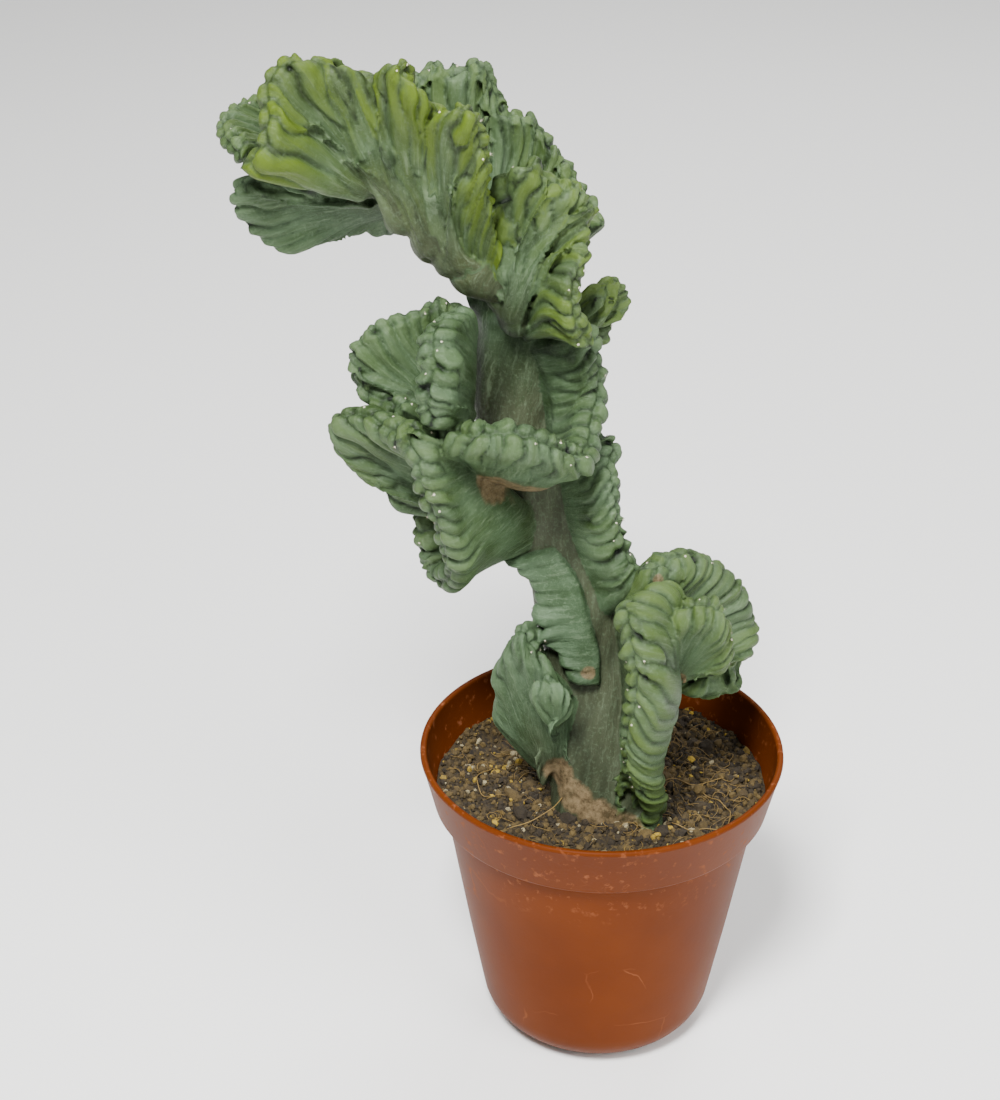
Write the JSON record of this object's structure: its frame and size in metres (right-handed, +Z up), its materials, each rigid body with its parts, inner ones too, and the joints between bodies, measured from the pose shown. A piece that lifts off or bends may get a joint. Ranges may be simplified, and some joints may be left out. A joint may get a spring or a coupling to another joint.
{
  "type": "potted crested cactus",
  "caption": "Crested blue myrtle cactus: a leaning trunk with folded, ribbed fan crests, in a round tapered nursery pot of gritty soil.",
  "frame": {"origin": "middle of the pot's flat underside", "axes": "+Z up along the pot's axis; -Y towards the front of the plant, which leans to -X"},
  "size_m": [0.1733, 0.12, 0.35],
  "materials": {
    "pot_plastic": "thin terracotta-coloured plastic, faintly scuffed",
    "gritty_soil": "dry, gritty peat and grit mix",
    "cactus_skin": "waxy blue-green skin with a pale bloom and lime-green new growth"
  },
  "bodies": {
    "root": {"pot": "pot_plastic", "soil": "gritty_soil", "crested_stem": "cactus_skin"}
  },
  "joints": []
}
